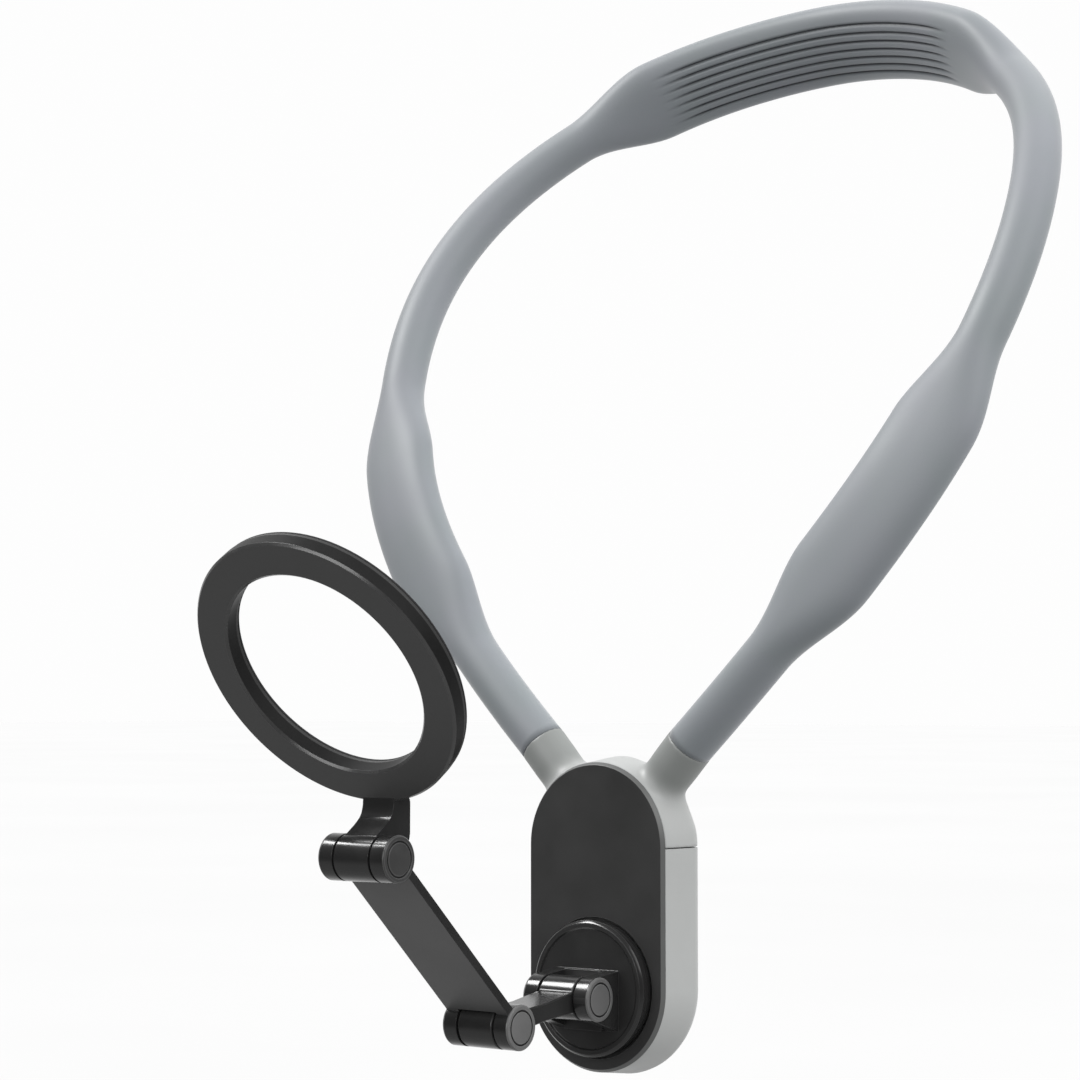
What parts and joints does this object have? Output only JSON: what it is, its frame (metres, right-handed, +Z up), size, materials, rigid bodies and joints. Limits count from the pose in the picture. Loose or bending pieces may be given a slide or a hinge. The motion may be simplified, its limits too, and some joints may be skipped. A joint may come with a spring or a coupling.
{
  "type": "neck-worn magnetic holder",
  "caption": "Grey bendable loop worn round the neck, with a flat chest unit whose turning disc and folding black arm carry a magnetic ring for a handset.",
  "frame": {"origin": "where the nape of the neck touches the middle of the back pad", "axes": "+X to the right as seen from in front of the wearer, +Y towards the wearer's back, +Z up; -Y points away from the chest"},
  "size_m": [0.1664, 0.2008, 0.239],
  "materials": {
    "housing_grey": "fine moulded satin, light grey",
    "strap_silicone": "smooth silicone with a soft sheen, blue-grey",
    "plate_black": "satin black with a bevelled edge",
    "arm_black": "smooth black coating, semi gloss",
    "cap_black": "satin black, slightly lighter than the arm",
    "cover_black": "plain black",
    "pad_rubber": "soft matt black",
    "screw_steel": "plain steel",
    "magnet_nickel": "nickel plated",
    "washer_white": "low friction plastic",
    "frame_alloy": "plain alloy",
    "core_alloy": "soft bendable alloy",
    "film_pale": "adhesive film"
  },
  "bodies": {
    "chest": {"lower_housing": "housing_grey", "shoulder_housing": "housing_grey", "front_plate": "plate_black", "plate_tape": "film_pale", "inner_frame": "frame_alloy", "housing_screws": "screw_steel", "core_clamp": "frame_alloy", "clamp_screws": "screw_steel", "strap_core": "core_alloy", "strap_sleeve": "strap_silicone", "disc_washer": "washer_white", "disc_spring": "screw_steel"},
    "disc": {"turning_disc": "arm_black", "disc_retainer": "screw_steel", "disc_screw": "screw_steel", "base_hinge_screw": "screw_steel", "base_hinge_nut": "screw_steel", "base_hinge_caps": "cap_black", "base_hinge_washers": "washer_white"},
    "short_arm": {"short_link": "arm_black"},
    "long_arm": {"long_link": "arm_black", "elbow_screw": "screw_steel", "elbow_nut": "screw_steel", "elbow_caps": "cap_black", "elbow_washers": "washer_white", "ring_hinge_screw": "screw_steel", "ring_hinge_nut": "screw_steel", "ring_hinge_caps": "cap_black", "ring_hinge_washers": "washer_white"},
    "ring": {"ring_body": "arm_black", "ring_yoke": "screw_steel", "ring_magnets": "magnet_nickel", "ring_cover": "cover_black", "ring_pad": "pad_rubber"}
  },
  "joints": [
    {"name": "disc_swivel", "type": "hinge", "parent": "chest", "child": "disc", "pos_m": [0, -0.09145, -0.20927], "axis": [0, 1, 0], "continuous": true},
    {"name": "base_hinge", "type": "hinge", "parent": "disc", "child": "short_arm", "pos_m": [0, -0.10045, -0.21047], "axis": [1, 0, 0], "range_deg": [-35, 60]},
    {"name": "elbow_hinge", "type": "hinge", "parent": "short_arm", "child": "long_arm", "pos_m": [0, -0.12574, -0.21376], "axis": [1, 0, 0], "range_deg": [-20, 75]},
    {"name": "ring_hinge", "type": "hinge", "parent": "long_arm", "child": "ring", "pos_m": [0, -0.16184, -0.17974], "axis": [1, 0, 0], "range_deg": [-25, 130]}
  ]
}
